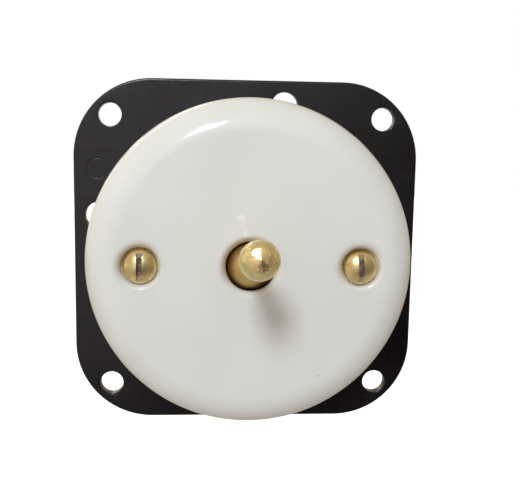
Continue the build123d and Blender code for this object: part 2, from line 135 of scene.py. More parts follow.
def ramp(tree, source, low, high, to_low=0.0, to_high=1.0):
    """Stretch one value's range to another, with soft ends."""
    made = node(
        tree, "ShaderNodeMapRange", interpolation_type="SMOOTHSTEP",
        in_From_Min=low, in_From_Max=high, in_To_Min=to_low, in_To_Max=to_high,
    )
    feed(tree, made.inputs["Value"], source)
    return made.outputs["Result"]


def math(tree, operation, *values):
    """One sum of sockets or numbers."""
    made = node(tree, "ShaderNodeMath", operation=operation)
    for socket, value in zip(made.inputs, values):
        feed(tree, socket, value)
    return made.outputs["Value"]


def dot(tree, vector, direction):
    """How far a vector runs along a direction."""
    made = node(tree, "ShaderNodeVectorMath", operation="DOT_PRODUCT")
    feed(tree, made.inputs[0], vector)
    made.inputs[1].default_value = direction
    return made.outputs["Value"]


def distance_from(tree, vector, place):
    """Distance of a coordinate from a place."""
    made = node(tree, "ShaderNodeVectorMath", operation="DISTANCE")
    feed(tree, made.inputs[0], vector)
    made.inputs[1].default_value = place
    return made.outputs["Value"]


def mix_colour(tree, factor, a, b):
    """Blend two colours, each a socket or four numbers, by a factor."""
    made = node(tree, "ShaderNodeMix", data_type="RGBA")
    for slot, value in zip((made.inputs["Factor"], made.inputs[6], made.inputs[7]), (factor, a, b)):
        feed(tree, slot, value)
    return made.outputs[2]


def noise(tree, vector, scale, detail=3.0, roughness=0.55, distortion=0.0):
    """Noise on a coordinate socket; gives its value."""
    made = node(
        tree, "ShaderNodeTexNoise", in_Detail=detail, in_Roughness=roughness, in_Distortion=distortion
    )
    feed(tree, made.inputs["Scale"], scale)
    feed(tree, made.inputs["Vector"], vector)
    return made.outputs["Fac"]


def new_group(name, inputs, outputs):
    """A shader group with named sockets, its input and its output node."""
    group = bpy.data.node_groups.new(name, "ShaderNodeTree")
    for label, kind, value in inputs:
        socket = group.interface.new_socket(label, in_out="INPUT", socket_type=kind)
        if value is not None:
            socket.default_value = value
    for label, kind in outputs:
        group.interface.new_socket(label, in_out="OUTPUT", socket_type=kind)
    return group, group.nodes.new("NodeGroupInput"), group.nodes.new("NodeGroupOutput")


FLOAT, COLOUR, VECTOR = "NodeSocketFloat", "NodeSocketColor", "NodeSocketVector"

# %% [markdown]
# ## Light and floor
# One window-like panel above and to the left gives the long highlight on the
# shoulder and the soft shadow under the toggle. Its light is cool and the
# room's is warm, so shadows turn a little brown. The room is brighter above
# than below, and in front, where somebody stands to look, it falls off to dark
# towards the lower right: the black plate and the brass mirror that part. A
# pale table reflects from beside and behind, brightest at the lower left, and
# gives the sides of the knob their light.

# %% Light the scene
scene.view_settings.view_transform = "Standard"
KEY_FROM = Vector((-0.18, -0.82, 0.545)).normalized()


def area_light(name, toward, distance, size, watts, colour):
    """A soft panel that faces the switch from a direction."""
    data = bpy.data.lights.new(name, "AREA")
    data.shape = "RECTANGLE"
    data.size, data.size_y = size
    data.energy = watts
    data.color = colour
    lamp = bpy.data.objects.new(name, data)
    lamp.location = toward * distance + WALL_OUT * face_height
    lamp.rotation_euler = toward.to_track_quat("Z", "Y").to_euler()
    scene.collection.objects.link(lamp)


area_light("window", KEY_FROM, 0.8, (0.14, 0.20), 3.5, (0.80, 0.93, 1.0))
area_light("back_fill", Vector((-0.4, 0.8, 0.45)).normalized(), 0.9, (0.5, 0.5), 1.2, (1.0, 0.97, 0.93))

# %% Light the room
world = bpy.data.worlds.new("room")
scene.world = world
world.use_nodes = True
room = world.node_tree
room.nodes.clear()
way = node(room, "ShaderNodeTexCoord").outputs["Generated"]
height = ramp(room, dot(room, way, (-0.7, 0, 0.7)), -1.0, 1.0)
around = mix_colour(room, height, (0.20, 0.16, 0.122, 1), (0.66, 0.565, 0.48, 1))
slant = ramp(room, dot(room, way, (-0.72, 0, 0.7)), -0.40, 0.25)
before = mix_colour(room, slant, (0.015, 0.014, 0.024, 1), (0.90, 0.84, 0.87, 1))
forward = dot(room, way, (0, -1, 0))
beside = ramp(room, forward, 0.45, 0.05, 0.0, 0.75)
below_left = ramp(room, dot(room, way, (-0.6, 0, -0.8)), -0.8, 0.8)
wall_colour = mix_colour(room, below_left, (0.48, 0.43, 0.34, 1), (1.10, 0.98, 0.76, 1))
walls = mix_colour(room, beside, around, wall_colour)
in_front = ramp(room, forward, 0.78, 0.92)
glow = node(room, "ShaderNodeBackground")
feed(room, glow.inputs["Color"], mix_colour(room, in_front, walls, before))
white = node(room, "ShaderNodeBackground", in_Color=(1, 1, 1, 1))
choose = node(room, "ShaderNodeMixShader")
feed(room, choose.inputs["Fac"], node(room, "ShaderNodeLightPath").outputs["Is Camera Ray"])
feed(room, choose.inputs[1], glow.outputs["Background"])
feed(room, choose.inputs[2], white.outputs["Background"])
sky = node(room, "ShaderNodeOutputWorld")
feed(room, sky.inputs["Surface"], choose.outputs["Shader"])

# %% Lay the floor
FLOOR_BELOW = 0.35
FLOOR_SIDE = 6.0
FLOOR_BEHIND = 2.7
floor_mesh = bpy.data.meshes.new("floor")
floor_bm = bmesh.new()
bmesh.ops.create_grid(
    floor_bm, x_segments=1, y_segments=1, size=FLOOR_SIDE / 2,
    matrix=Matrix.Translation((0, FLOOR_BEHIND, -FLOOR_BELOW)),
)
floor_bm.to_mesh(floor_mesh)
floor_bm.free()
floor = bpy.data.objects.new("floor", floor_mesh)
scene.collection.objects.link(floor)
floor_paint = bpy.data.materials.new("pale_floor")
floor_paint.use_nodes = True
floor_tree = floor_paint.node_tree
floor_shader = floor_tree.nodes["Principled BSDF"]
floor_shader.inputs["Base Color"].default_value = (0.6, 0.59, 0.57, 1)
floor_shader.inputs["Roughness"].default_value = 0.9
floor_seen = node(floor_tree, "ShaderNodeLightPath")
floor_shader.inputs["Emission Color"].default_value = (1, 1, 1, 1)
floor_tree.links.new(floor_seen.outputs["Is Camera Ray"], floor_shader.inputs["Emission Strength"])
floor_mesh.materials.append(floor_paint)

# %% [markdown]
# ## Effects that several finishes share
# A group is built once and placed in each material with its own values, so
# brass, copper and steel can tarnish in their own colours from one recipe.
# Each group reads object coordinates in metres, so its scale is in the order
# of hundreds to thousands for a small object like this.

# %% [markdown]
# ### Tarnish
# Handled brass is bright where fingers and screwdrivers touch it and brown
# where they don't. Two noises, one broad and one fine, break that brown into
# clouds and spots, and the same mask makes the dull places rougher.

# %% The tarnish group
tarnish_group, entry, leaving = new_group(
    "tarnish",
    [("Vector", VECTOR, None), ("Bright", COLOUR, (0.8, 0.6, 0.3, 1)), ("Dull", COLOUR, (0.3, 0.2, 0.1, 1)),
     ("Scale", FLOAT, 300.0), ("Amount", FLOAT, 0.5)],
    [("Colour", COLOUR), ("Mask", FLOAT), ("Roughness", FLOAT)],
)
broad = noise(tarnish_group, entry.outputs["Vector"], entry.outputs["Scale"], 4, 0.6, 0.4)
fine_scale = math(tarnish_group, "MULTIPLY", entry.outputs["Scale"], 5.3)
fine = noise(tarnish_group, entry.outputs["Vector"], fine_scale, 3, 0.6)
cloud = ramp(tarnish_group, broad, 0.40, 0.72)
spots = ramp(tarnish_group, fine, 0.56, 0.70)
both = math(tarnish_group, "MAXIMUM", cloud, math(tarnish_group, "MULTIPLY", spots, 0.55))
mask = math(tarnish_group, "MULTIPLY", both, entry.outputs["Amount"])
tint = mix_colour(tarnish_group, mask, entry.outputs["Bright"], entry.outputs["Dull"])
tarnish_group.links.new(tint, leaving.inputs["Colour"])
tarnish_group.links.new(mask, leaving.inputs["Mask"])
tarnish_group.links.new(math(tarnish_group, "MULTIPLY", mask, 0.25), leaving.inputs["Roughness"])

# %% [markdown]
# ### Fine scratches
# A scratch is long and thin, so the noise is squeezed hard along one direction
# and cut to its brightest threads. Two directions crossed look like years of
# wiping instead of a brushed finish.

# %% The scratches group
scratch_group, entry, leaving = new_group(
    "fine_scratches",
    [("Vector", VECTOR, None), ("Scale", FLOAT, 900.0), ("Share", FLOAT, 0.1)],
    [("Mask", FLOAT)],
)
threads = []
for turn in ((0.3, 0.5, 0.6), (-0.5, 0.2, 2.1)):
    turned = node(scratch_group, "ShaderNodeMapping")
    turned.inputs["Rotation"].default_value = turn
    turned.inputs["Scale"].default_value = (0.06, 1.0, 1.0)
    scratch_group.links.new(entry.outputs["Vector"], turned.inputs["Vector"])
    thread = noise(scratch_group, turned.outputs["Vector"], entry.outputs["Scale"], 2, 0.5)
    threads.append(ramp(scratch_group, thread, 0.62, 0.72))
crossed = math(scratch_group, "MAXIMUM", *threads)
scratch_group.links.new(
    math(scratch_group, "MULTIPLY", crossed, entry.outputs["Share"]), leaving.inputs["Mask"]
)

# %% [markdown]
# ### Specks
# Iron specks in a glaze and dust on a black plate are the same pattern at
# different scales: small round cells, most of them thrown away. A cell's own
# random colour decides whether it keeps its speck.

# %% The specks group
speck_group, entry, leaving = new_group(
    "specks",
    [("Vector", VECTOR, None), ("Scale", FLOAT, 400.0), ("Size", FLOAT, 0.1), ("Share", FLOAT, 0.1)],
    [("Mask", FLOAT)],
)
cells = node(speck_group, "ShaderNodeTexVoronoi", feature="F1")
speck_group.links.new(entry.outputs["Vector"], cells.inputs["Vector"])
speck_group.links.new(entry.outputs["Scale"], cells.inputs["Scale"])
chance = node(speck_group, "ShaderNodeSeparateColor")
speck_group.links.new(cells.outputs["Color"], chance.inputs["Color"])
chosen = math(speck_group, "LESS_THAN", chance.outputs["Red"], entry.outputs["Share"])
size_here = math(speck_group, "MULTIPLY", chance.outputs["Green"], entry.outputs["Size"])
inside = math(speck_group, "LESS_THAN", cells.outputs["Distance"], size_here)
speck_group.links.new(math(speck_group, "MULTIPLY", chosen, inside), leaving.inputs["Mask"])


# %% Helpers for materials


def material(name):
    """A new material: its tree, its Principled shader and its object coordinates."""
    made = bpy.data.materials.new(name)
    made.use_nodes = True
    tree = made.node_tree
    coordinates = node(tree, "ShaderNodeTexCoord").outputs["Object"]
    return made, tree, tree.nodes["Principled BSDF"], coordinates


def use_group(tree, group, vector, **values):
    """Place a shared group in a material with its own values."""
    made = node(tree, "ShaderNodeGroup", node_tree=group)
    tree.links.new(vector, made.inputs["Vector"])
    for label, value in values.items():
        made.inputs[label].default_value = value
    return made.outputs


def bump(tree, shader, height, strength, distance):
    """Feed a height into the shader's normal."""
    made = node(tree, "ShaderNodeBump")
    made.inputs["Strength"].default_value = strength
    made.inputs["Distance"].default_value = distance
    tree.links.new(height, made.inputs["Height"])
    tree.links.new(made.outputs["Normal"], shader.inputs["Normal"])


finishes = {}

# %% [markdown]
# ## Glazed porcelain
# The body of the cover is a warm white and its glaze is a clear hard coat. A
# coat over a slightly rough base gives both: a sharp window in the coat and a
# soft white underneath. A few dark specks of iron have burned through it. The
# glaze stops in the bore of the centre hole, and the bare body there is painted
# dark: painted shade with some dirt, nearly black at its lower side, where the
# ball shades it. Round the screws and the hole the glaze is painted tan, most
# on the side towards the window: painted shade and a painted reflection of the
# brass.

# %% Make the porcelain
COOL_WHITE = (0.79, 0.786, 0.758, 1)
WARM_WHITE = (0.82, 0.817, 0.79, 1)
# Tan painted round the screws and the hole: painted shade and a painted brass reflection.
PAINTED_SHADE_TAN = (0.45, 0.32, 0.18, 1)
# The bore's painted shade, with some dirt: black low down, brown higher up.
BORE_SHADE_BLACK = (0.03, 0.03, 0.022, 1)
BORE_SHADE_BROWN = (0.32, 0.20, 0.085, 1)
TOWARDS_LIGHT = (-0.6, 0, 0.8)
porcelain, tree, shader, where = material("glazed_porcelain")
tone = noise(tree, where, 45, 2)
white_body = mix_colour(tree, ramp(tree, tone, 0.35, 0.65), COOL_WHITE, WARM_WHITE)
specks = use_group(tree, speck_group, where, Scale=210.0, Size=0.05, Share=0.08)["Mask"]
speckled = mix_colour(tree, math(tree, "MULTIPLY", specks, 0.7), white_body, (0.20, 0.17, 0.12, 1))
split = node(tree, "ShaderNodeSeparateXYZ")
feed(tree, split.inputs["Vector"], where)
depth = math(tree, "ADD", split.outputs["Y"], face_height)
off_axis = math(tree, "SQRT", math(
    tree, "ADD", math(tree, "POWER", split.outputs["X"], 2.0), math(tree, "POWER", split.outputs["Z"], 2.0)
))
# The bore is painted dark deeper than 1.2 mm in: painted shade with some dirt.
deep = ramp(tree, depth, 1.2 * MM, 2.8 * MM)
inside = math(tree, "LESS_THAN", off_axis, 6.0 * MM)
bore_shade_and_dirt = math(tree, "MULTIPLY", deep, inside)
# Painted shade and painted brass reflection round each screw: thin all round the head, strongest on the side
# towards the window, whose wall faces away from it.
side = math(tree, "SIGN", split.outputs["X"])
beside_screw = math(tree, "SUBTRACT", split.outputs["X"], math(tree, "MULTIPLY", side, screw_x))
from_screw = math(tree, "SQRT", math(
    tree, "ADD", math(tree, "POWER", beside_screw, 2.0), math(tree, "POWER", split.outputs["Z"], 2.0)
))
around_screw = node(tree, "ShaderNodeCombineXYZ")
feed(tree, around_screw.inputs["X"], beside_screw)
feed(tree, around_screw.inputs["Z"], split.outputs["Z"])
over_screw = dot(tree, around_screw.outputs["Vector"], TOWARDS_LIGHT)
shaded_side = ramp(tree, over_screw, -1.5 * MM, 3.5 * MM, 0.2, 1.0)
screw_shade_and_reflection = math(tree, "MULTIPLY", ramp(tree, from_screw, 6.1 * MM, 3.8 * MM), shaded_side)
# Painted reflection of the brass ball on the hole's lip, on the side towards the window.
hole_shade_side = ramp(tree, dot(tree, where, TOWARDS_LIGHT), -2.0 * MM, 5.0 * MM, 0.1, 0.8)
hole_brass_reflection = math(tree, "MULTIPLY", ramp(tree, off_axis, 7.2 * MM, 5.5 * MM), hole_shade_side)
painted_tan_share = math(tree, "MAXIMUM", math(tree, "MULTIPLY", screw_shade_and_reflection, 0.7), hole_brass_reflection)
painted_tan_glaze = mix_colour(tree, painted_tan_share, speckled, PAINTED_SHADE_TAN)
# The painted shade in the bore is blackest at its lower side, browner higher up.
bore_shade_level = ramp(tree, split.outputs["Z"], -4.5 * MM, -2.0 * MM)
bore_shade_tone = mix_colour(tree, bore_shade_level, BORE_SHADE_BLACK, BORE_SHADE_BROWN)
feed(tree, shader.inputs["Base Color"], mix_colour(tree, bore_shade_and_dirt, painted_tan_glaze, bore_shade_tone))
shader.inputs["Roughness"].default_value = 0.4
shader.inputs["Specular IOR Level"].default_value = 0.25
# The coat is thinned where the bore's painted shade and dirt and the painted tan lie.
painted_shade_and_dirt = math(tree, "MAXIMUM", bore_shade_and_dirt, math(tree, "MULTIPLY", screw_shade_and_reflection, 0.8))
feed(tree, shader.inputs["Coat Weight"], math(tree, "MULTIPLY_ADD", painted_shade_and_dirt, -0.8, 0.8))
shader.inputs["Coat Roughness"].default_value = 0.05
shader.inputs["Coat IOR"].default_value = 1.4
wave = noise(tree, where, 170, 2, 0.5)
bump(tree, shader, wave, 0.06, 0.0002)
finishes["glazed_porcelain"] = porcelain

# %% [markdown]
# ## Black phenolic
# Moulded phenolic is nearly black with a brown cast, polished by its mould and
# dulled by handling. Its roughness is uneven and it holds dust and hair
# scratches, which is most of what one sees of a black thing. A pin that pushed
# the plate out of its mould has left a shallow ring beside the cover.

# %% Make the phenolic
EJECTOR_MARK = Vector((-34.6, -2.5, 19.4)) * MM
EJECTOR_RADIUS = 2.3 * MM
phenolic, tree, shader, where = material("black_phenolic")
cloud = noise(tree, where, 60, 4, 0.6)
deep = mix_colour(tree, cloud, (0.0026, 0.0017, 0.0025, 1), (0.0060, 0.0047, 0.0058, 1))
dust = use_group(tree, speck_group, where, Scale=900.0, Size=0.16, Share=0.04)["Mask"]
hairs = use_group(tree, scratch_group, where, Scale=420.0, Share=0.05)["Mask"]
worn = mix_colour(tree, math(tree, "MULTIPLY", dust, 0.4), deep, (0.14, 0.13, 0.13, 1))
feed(tree, shader.inputs["Base Color"], mix_colour(tree, hairs, worn, (0.07, 0.065, 0.065, 1)))
feed(tree, shader.inputs["Roughness"], ramp(tree, cloud, 0.35, 0.7, 0.18, 0.30))
off_ring = math(tree, "SUBTRACT", distance_from(tree, where, EJECTOR_MARK), EJECTOR_RADIUS)
ring = ramp(tree, math(tree, "ABSOLUTE", off_ring), 0.0, 0.28 * MM, -1.0, 0.0)
grain = noise(tree, where, 1400, 3, 0.6)
relief = math(tree, "MULTIPLY_ADD", grain, 0.25, ring)
bump(tree, shader, relief, 0.6, 0.00006)
finishes["black_phenolic"] = phenolic

# %% [markdown]
# ## Metals
# All the metals share one recipe and differ in colour, in how far they have
# tarnished and in how polished they are, so one function makes them.

# %% Make the metals


def metal(name, bright, dull, scale, amount, roughness, scratch_share, grain_depth):
    """A tarnished, scratched metal finish; gives the pieces that a variant can add to."""
    made, tree, shader, where = material(name)
    tarnish = use_group(tree, tarnish_group, where, Bright=bright, Dull=dull, Scale=scale, Amount=amount)
    scratches = use_group(tree, scratch_group, where, Scale=1500.0, Share=scratch_share)["Mask"]
    pale = tuple(min(1.0, part * 1.2) for part in bright[:3]) + (1,)
    colour = mix_colour(tree, scratches, tarnish["Colour"], pale)
    dullness = math(tree, "ADD", tarnish["Roughness"], roughness)
    feed(tree, shader.inputs["Base Color"], colour)
    shader.inputs["Metallic"].default_value = 1.0
    feed(tree, shader.inputs["Roughness"], dullness)
    relief = math(tree, "MULTIPLY_ADD", scratches, -0.8, noise(tree, where, 2600, 3, 0.6))
    bump(tree, shader, relief, 0.25, grain_depth)
    finishes[name] = made
    return tree, shader, where, colour, dullness, relief


BRASS = (0.91, 0.765, 0.40, 1)
BROWN = (0.50, 0.335, 0.16, 1)
RUBBED_BROWN = (0.68, 0.47, 0.18, 1)
# Browner brass for the knob's tip: a painted reflection of the dark room in front.
TIP_REFLECTION_BROWN = (0.80, 0.55, 0.24, 1)
metal("plain_brass", (0.80, 0.64, 0.33, 1), (0.45, 0.30, 0.14, 1), 260.0, 0.4, 0.26, 0.25, 0.00003)
metal("phosphor_bronze", (0.72, 0.47, 0.27, 1), (0.36, 0.19, 0.10, 1), 240.0, 0.45, 0.26, 0.3, 0.00003)
metal("copper", (0.83, 0.46, 0.31, 1), (0.30, 0.13, 0.07, 1), 220.0, 0.5, 0.27, 0.3, 0.00003)
metal("bright_steel", (0.62, 0.62, 0.63, 1), (0.30, 0.27, 0.24, 1), 260.0, 0.3, 0.22, 0.4, 0.00002)
metal("zinc_steel", (0.66, 0.67, 0.69, 1), (0.38, 0.34, 0.28, 1), 240.0, 0.5, 0.34, 0.3, 0.00004)

# %% [markdown]
# ### The toggle's brass
# Fingers keep the knob bright. The ball only rubs in its hole, so it is duller
# and browner there, and the change comes a little above the ball. The lathe
# left fine rings around the lever. The end of the knob has taken the knocks, so
# its small dents are deepest there. Round the tip the brass is painted a little
# browner: a painted reflection of the dark room in front of the knob.

# %% Make the toggle's brass
TIP_AT = 33.4 * MM
tree, shader, where, colour, dullness, relief = metal(
    "aged_brass", BRASS, BROWN, 330.0, 0.5, 0.21, 0.3, 0.00003
)
near_ball = ramp(tree, distance_from(tree, where, pivot), 8.0 * MM, 5.8 * MM)
ball_colour = mix_colour(tree, math(tree, "MULTIPLY", near_ball, 0.75), colour, RUBBED_BROWN)
feed(tree, shader.inputs["Roughness"], math(tree, "MULTIPLY_ADD", near_ball, 0.17, dullness))
from_tip = distance_from(tree, where, pivot + lever_out * TIP_AT)
# Painted reflection: the brass round the tip is painted browner.
tip_reflection_share = math(tree, "MULTIPLY", ramp(tree, from_tip, 2.6 * MM, 1.5 * MM), 0.6)
tip_reflection_colour = mix_colour(tree, tip_reflection_share, ball_colour, TIP_REFLECTION_BROWN)
feed(tree, shader.inputs["Base Color"], tip_reflection_colour)
along = node(tree, "ShaderNodeCombineXYZ")
feed(tree, along.inputs["X"], dot(tree, where, lever_out))
rings = noise(tree, along.outputs["Vector"], 9000, 2, 0.6)
dents = ramp(tree, noise(tree, where, 3000, 2, 0.5), 0.53, 0.63)
knocks = math(tree, "MULTIPLY", dents, ramp(tree, from_tip, 5.0 * MM, 2.5 * MM, -0.35, -1.6))
relief = math(tree, "MULTIPLY_ADD", rings, 0.7, math(tree, "ADD", knocks, relief))
bump(tree, shader, relief, 0.75, 0.00005)

# %% [markdown]
# ### Dirt in the slots
# A screw that has stayed in its place for decades keeps brown dirt in its
# slot, darkest in the middle of its length. The variant below is the same
# brass with that dirt laid where the metal lies below the top of the head,
# within the saw's width and within the slot's length.

# %% Make the screws' brass
SLOT_WIDTH = 1.2 * MM
SLOT_DEPTH = 1.0 * MM
HEAD_TOP = -screw_low.y
tree, shader, where, colour, dullness, relief = metal(
    "slotted_brass", BRASS, BROWN, 420.0, 0.65, 0.27, 0.3, 0.00004
)
split = node(tree, "ShaderNodeSeparateXYZ")
feed(tree, split.inputs["Vector"], where)
from_middle = math(tree, "ABSOLUTE", split.outputs["X"])
off_centre = math(tree, "ABSOLUTE", math(tree, "SUBTRACT", from_middle, screw_x))
in_slot = ramp(tree, off_centre, SLOT_WIDTH * 0.75, SLOT_WIDTH * 0.5)
below = ramp(tree, math(tree, "ADD", split.outputs["Y"], HEAD_TOP), SLOT_DEPTH * 0.45, SLOT_DEPTH * 0.8)
up_slot = math(tree, "ABSOLUTE", split.outputs["Z"])
within = ramp(tree, up_slot, 3.2 * MM, 2.8 * MM)
middle = ramp(tree, up_slot, 2.6 * MM, 1.2 * MM, -0.1, 0.12)
patches = ramp(tree, math(tree, "ADD", noise(tree, where, 900, 4, 0.65), middle), 0.42, 0.62)
crust = mix_colour(tree, patches, (0.40, 0.27, 0.15, 1), (0.115, 0.07, 0.055, 1))
dirt = math(tree, "MULTIPLY", math(tree, "MULTIPLY", in_slot, below), within)
feed(tree, shader.inputs["Base Color"], mix_colour(tree, dirt, colour, crust))
feed(tree, shader.inputs["Metallic"], math(tree, "SUBTRACT", 1.0, dirt))
feed(tree, shader.inputs["Roughness"], math(tree, "MULTIPLY_ADD", dirt, 0.5, dullness))

# %% [markdown]
# ## Vulcanised fibre
# The see-saw is dark red fibre, a pressed paper with a matt, slightly hairy
# surface. Long soft noise along its length stands for the pressed layers.

# %% Make the fibre
fibre, tree, shader, where = material("red_fibre")
layers = node(tree, "ShaderNodeMapping")
layers.inputs["Scale"].default_value = (1.0, 4.0, 0.3)
tree.links.new(where, layers.inputs["Vector"])
streaks = noise(tree, layers.outputs["Vector"], 700, 4, 0.65)
layer_mask = ramp(tree, streaks, 0.3, 0.7)
fibre_colour = mix_colour(tree, layer_mask, (0.17, 0.035, 0.022, 1), (0.34, 0.085, 0.05, 1))
tree.links.new(fibre_colour, shader.inputs["Base Color"])
shader.inputs["Roughness"].default_value = 0.65
bump(tree, shader, streaks, 0.3, 0.00006)
finishes["red_fibre"] = fibre

# %% [markdown]
# ## Dress the parts
# Inner parts have the right shape already. Each takes the finish of its own
# material slot.

# %% Dress the parts that stay
slot_of = {row["node"]: row["material_slot"] for row in frame["record"]["subparts"]}
for name, part in frame["nodes"].items():
    part.data.materials.clear()
    part.data.materials.append(finishes[slot_of[name]])
print("dressed", len(slot_of), "parts in", len(finishes), "finishes")

# %% [markdown]
# ## Turned shapes
# Drum, lip, dimples, screws and toggle are all round, so all of them come
# from one tool: an outline of radius and height that is spun about an axis.
# Arcs in an outline come from a small helper, so a rounding is one line. Faces
# that meet at more than the sharp angle keep a crisp edge between them.

# %% Helpers for turned shapes
SHARP_ANGLE = radians(32)


def arc(centre, radius, start, end, parts):
    """Points of an arc in an outline, in degrees from the radius direction."""
    turns = [radians(start + (end - start) * i / parts) for i in range(parts + 1)]
    return [(centre[0] + radius * cos(t), centre[1] + radius * sin(t)) for t in turns]


def turn_profile(bm, outline, centre, along, steps):
    """Spin an outline of (radius, height) about an axis."""
    across = along.orthogonal().normalized()
    verts = [bm.verts.new(centre + across * r + along * h) for r, h in outline]
    edges = [bm.edges.new(pair) for pair in zip(verts, verts[1:])]
    bmesh.ops.spin(
        bm, geom=verts + edges, cent=centre, axis=along, dvec=(0, 0, 0),
        angle=tau, steps=steps, use_merge=True, use_duplicate=False,
    )


def finish_piece(name, bm, slot, body, stands_for, modifiers=True):
    """Weld, turn the faces outwards, shade, and put a piece on its body."""
    bmesh.ops.remove_doubles(bm, verts=bm.verts, dist=1e-6)
    bmesh.ops.dissolve_degenerate(bm, edges=bm.edges, dist=1e-7)
    bmesh.ops.recalc_face_normals(bm, faces=bm.faces)
    open_edges = sum(1 for edge in bm.edges if not edge.is_manifold)
    mesh = bpy.data.meshes.new(name)
    bm.to_mesh(mesh)
    bm.free()
    mesh.materials.append(finishes[slot])
    mesh.shade_smooth()
    mesh.set_sharp_from_angle(angle=SHARP_ANGLE)
    piece = bpy.data.objects.new(name, mesh)
    scene.collection.objects.link(piece)
    if modifiers:
        weighted = piece.modifiers.new("face normals", "WEIGHTED_NORMAL")
        weighted.keep_sharp = True
    if stands_for:
        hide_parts(*stands_for)
    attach(piece, body)
    print(f"{name}: {len(mesh.polygons)} faces, {open_edges} open edges")
    return piece


# %% [markdown]
# ## The cover
# Porcelain is cast thick and glazed all over, so it has no sharp edge at all.
# The drum's wall and shoulder, the lip of the centre hole and the two dimples
# are spun one by one, and the flat front and the ceiling are filled between
# their circles. A flat fill keeps the front truly flat, which a subdivided
# surface wouldn't.

# %% Turn the cover
WALL = 3.5 * MM
FRONT_THICKNESS = 3.0 * MM
SHOULDER = 7.0 * MM
HOLE_RADIUS = 5.3 * MM
LIP = 1.4 * MM
SEAT_RADIUS = 3.88 * MM
DIMPLE_DEPTH = 1.5 * MM
DIMPLE_LIP = 1.1 * MM
DIMPLE_SLOPE = 85
DIMPLE_CORNER = 0.05 * MM
SCREW_HOLE = 2.25 * MM
BOSS_RADIUS = 5.5 * MM
BOSS_DEPTH = 2.5 * MM
SOFT_EDGE = 0.4 * MM
ceiling = face_height - FRONT_THICKNESS
inner_radius = cover_radius - WALL
INNER_SHOULDER = SHOULDER - WALL

cover_bm = bmesh.new()
drum = [
    *arc((inner_radius - INNER_SHOULDER, ceiling - INNER_SHOULDER), INNER_SHOULDER, 90, 0, 10),
    *arc((inner_radius + SOFT_EDGE, plate_front + SOFT_EDGE), SOFT_EDGE, 180, 270, 4),
    *arc((cover_radius - SOFT_EDGE, plate_front + SOFT_EDGE), SOFT_EDGE, 270, 360, 4),
    *arc((cover_radius - SHOULDER, face_height - SHOULDER), SHOULDER, 0, 90, 28),
]
hole = [
    *arc((HOLE_RADIUS + LIP, face_height - LIP), LIP, 90, 180, 14),
    *arc((HOLE_RADIUS + SOFT_EDGE, ceiling + SOFT_EDGE), SOFT_EDGE, 180, 270, 4),
]
turn_profile(cover_bm, drum, Vector(), WALL_OUT, 256)
turn_profile(cover_bm, hole, Vector(), WALL_OUT, 128)

boss_foot = ceiling - BOSS_DEPTH
slope = radians(DIMPLE_SLOPE)
slope_drop = DIMPLE_DEPTH - (DIMPLE_LIP + DIMPLE_CORNER) * (1 - cos(slope))
dimple_mouth = SEAT_RADIUS + (DIMPLE_LIP + DIMPLE_CORNER) * sin(slope) + slope_drop / tan(slope)
dimple = [
    *arc((dimple_mouth, face_height - DIMPLE_LIP), DIMPLE_LIP, 90, 90 + DIMPLE_SLOPE, 10),
    *arc(
        (SEAT_RADIUS, face_height - DIMPLE_DEPTH + DIMPLE_CORNER),
        DIMPLE_CORNER, 270 + DIMPLE_SLOPE, 270, 3,
    ),
    (SCREW_HOLE, face_height - DIMPLE_DEPTH),
    (SCREW_HOLE, boss_foot),
    *arc((BOSS_RADIUS - SOFT_EDGE, boss_foot + SOFT_EDGE), SOFT_EDGE, 270, 360, 4),
    (BOSS_RADIUS, ceiling),
]
for side in (-1, 1):
    turn_profile(cover_bm, dimple, Vector((side * screw_x, 0, 0)), WALL_OUT, 96)
bmesh.ops.remove_doubles(cover_bm, verts=cover_bm.verts, dist=1e-6)


def fill_level(bm, height, facing):
    """Fill the flat area between the open circles at one height over the wall."""
    rims = [
        edge for edge in bm.edges
        if edge.is_boundary and all(abs(-v.co.y - height) < 1e-6 for v in edge.verts)
    ]
    bmesh.ops.triangle_fill(bm, edges=rims, normal=facing, use_beauty=True, use_dissolve=False)


fill_level(cover_bm, face_height, WALL_OUT)
fill_level(cover_bm, ceiling, -WALL_OUT)
finish_piece("porcelain_cover", cover_bm, "glazed_porcelain", "housing", ["cover"])

# %% [markdown]
# ## The base plate
# The plate is one moulding with a softly rounded front edge. Its outline is a
# square with large corners: four arcs joined by straight runs. Loops of that
# outline at several heights are bridged into the edge, every hole is a spun
# wall with its own small rounding, and the two flats are filled between them.

# %% Mould the base plate
PLATE_CORNER = 18.0 * MM
PLATE_EDGE = 0.5 * MM
HOLE_EDGE = 0.25 * MM
FIXING = 31.65 * MM
FIXING_HOLE = 2.7 * MM
RIM_HOLE = 3.0 * MM
RIM_PLACE = Vector((8.5, 0, 34.5)) * MM
CABLE_PLACE = Vector((16.5, 0, 11.0)) * MM
CABLE_HOLE = 4.5 * MM
POST_SCREW_HOLE = 2.25 * MM
COUNTERSINK = 4.0 * MM


def outline_loop(bm, inset, height):
    """One closed loop of the plate's outline, drawn in by an inset."""
    half = plate_half - inset
    radius = PLATE_CORNER - inset
    verts = []
    for quarter in range(4):
        turn = Matrix.Rotation(radians(90 * quarter), 3, "Y")
        for x, z in arc((half - radius, half - radius), radius, 90, 0, 20):
            verts.append(bm.verts.new(turn @ Vector((x, 0, z)) + WALL_OUT * height))
    return [bm.edges.new(pair) for pair in zip(verts, verts[1:] + verts[:1])]


